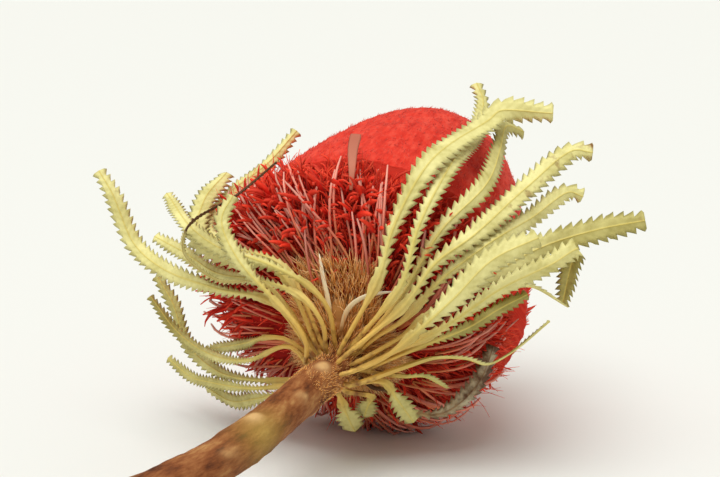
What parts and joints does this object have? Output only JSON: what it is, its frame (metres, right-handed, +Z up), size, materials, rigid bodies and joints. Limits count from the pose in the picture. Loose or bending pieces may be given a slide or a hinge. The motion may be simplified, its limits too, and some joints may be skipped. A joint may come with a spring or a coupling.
{
  "type": "dried banksia flower head",
  "caption": "Dried red-dyed banksia flower head lying on its side, with a felted bud dome, a skirt of open florets, a whorl of saw-toothed leaves and a cut woody stem.",
  "frame": {"origin": "middle of the pressed spot of florets that the head lies on, on the table's surface", "axes": "+Z up; the head's axis points away from the stem along +Y, turned 19 degrees towards +X and raised 25 degrees"},
  "size_m": [0.1222, 0.153, 0.0805],
  "materials": {
    "stem_bark": "dry brown bark, matt",
    "bract_wool": "brown wool on papery bracts, matt",
    "dyed_floret": "dyed dry florets, matt with a faint sheen",
    "bud_felt": "dyed felt-like buds, matt",
    "dried_leaf": "dry leathery leaf, satin",
    "withered_leaf": "withered brown leaf, matt"
  },
  "bodies": {
    "root": {"stem": "stem_bark", "bract_collar": "bract_wool", "open_florets": "dyed_floret", "bud_dome": "bud_felt", "leaf_01": "dried_leaf", "leaf_02": "dried_leaf", "leaf_03": "dried_leaf", "leaf_04": "dried_leaf", "leaf_05": "dried_leaf", "leaf_06": "dried_leaf", "leaf_07": "dried_leaf", "leaf_08": "dried_leaf", "leaf_09": "dried_leaf", "leaf_10": "dried_leaf", "leaf_11": "dried_leaf", "leaf_12": "dried_leaf", "leaf_13": "withered_leaf", "leaf_14": "dried_leaf", "leaf_15": "dried_leaf", "leaf_16": "dried_leaf", "leaf_17": "dried_leaf", "leaf_18": "dried_leaf", "leaf_19": "dried_leaf", "leaf_20": "dried_leaf", "leaf_21": "dried_leaf", "leaf_22": "dried_leaf", "leaf_23": "dried_leaf", "leaf_24": "dried_leaf", "leaf_25": "dried_leaf", "leaf_26": "dried_leaf", "leaf_27": "withered_leaf", "leaf_28": "dried_leaf"}
  },
  "joints": []
}
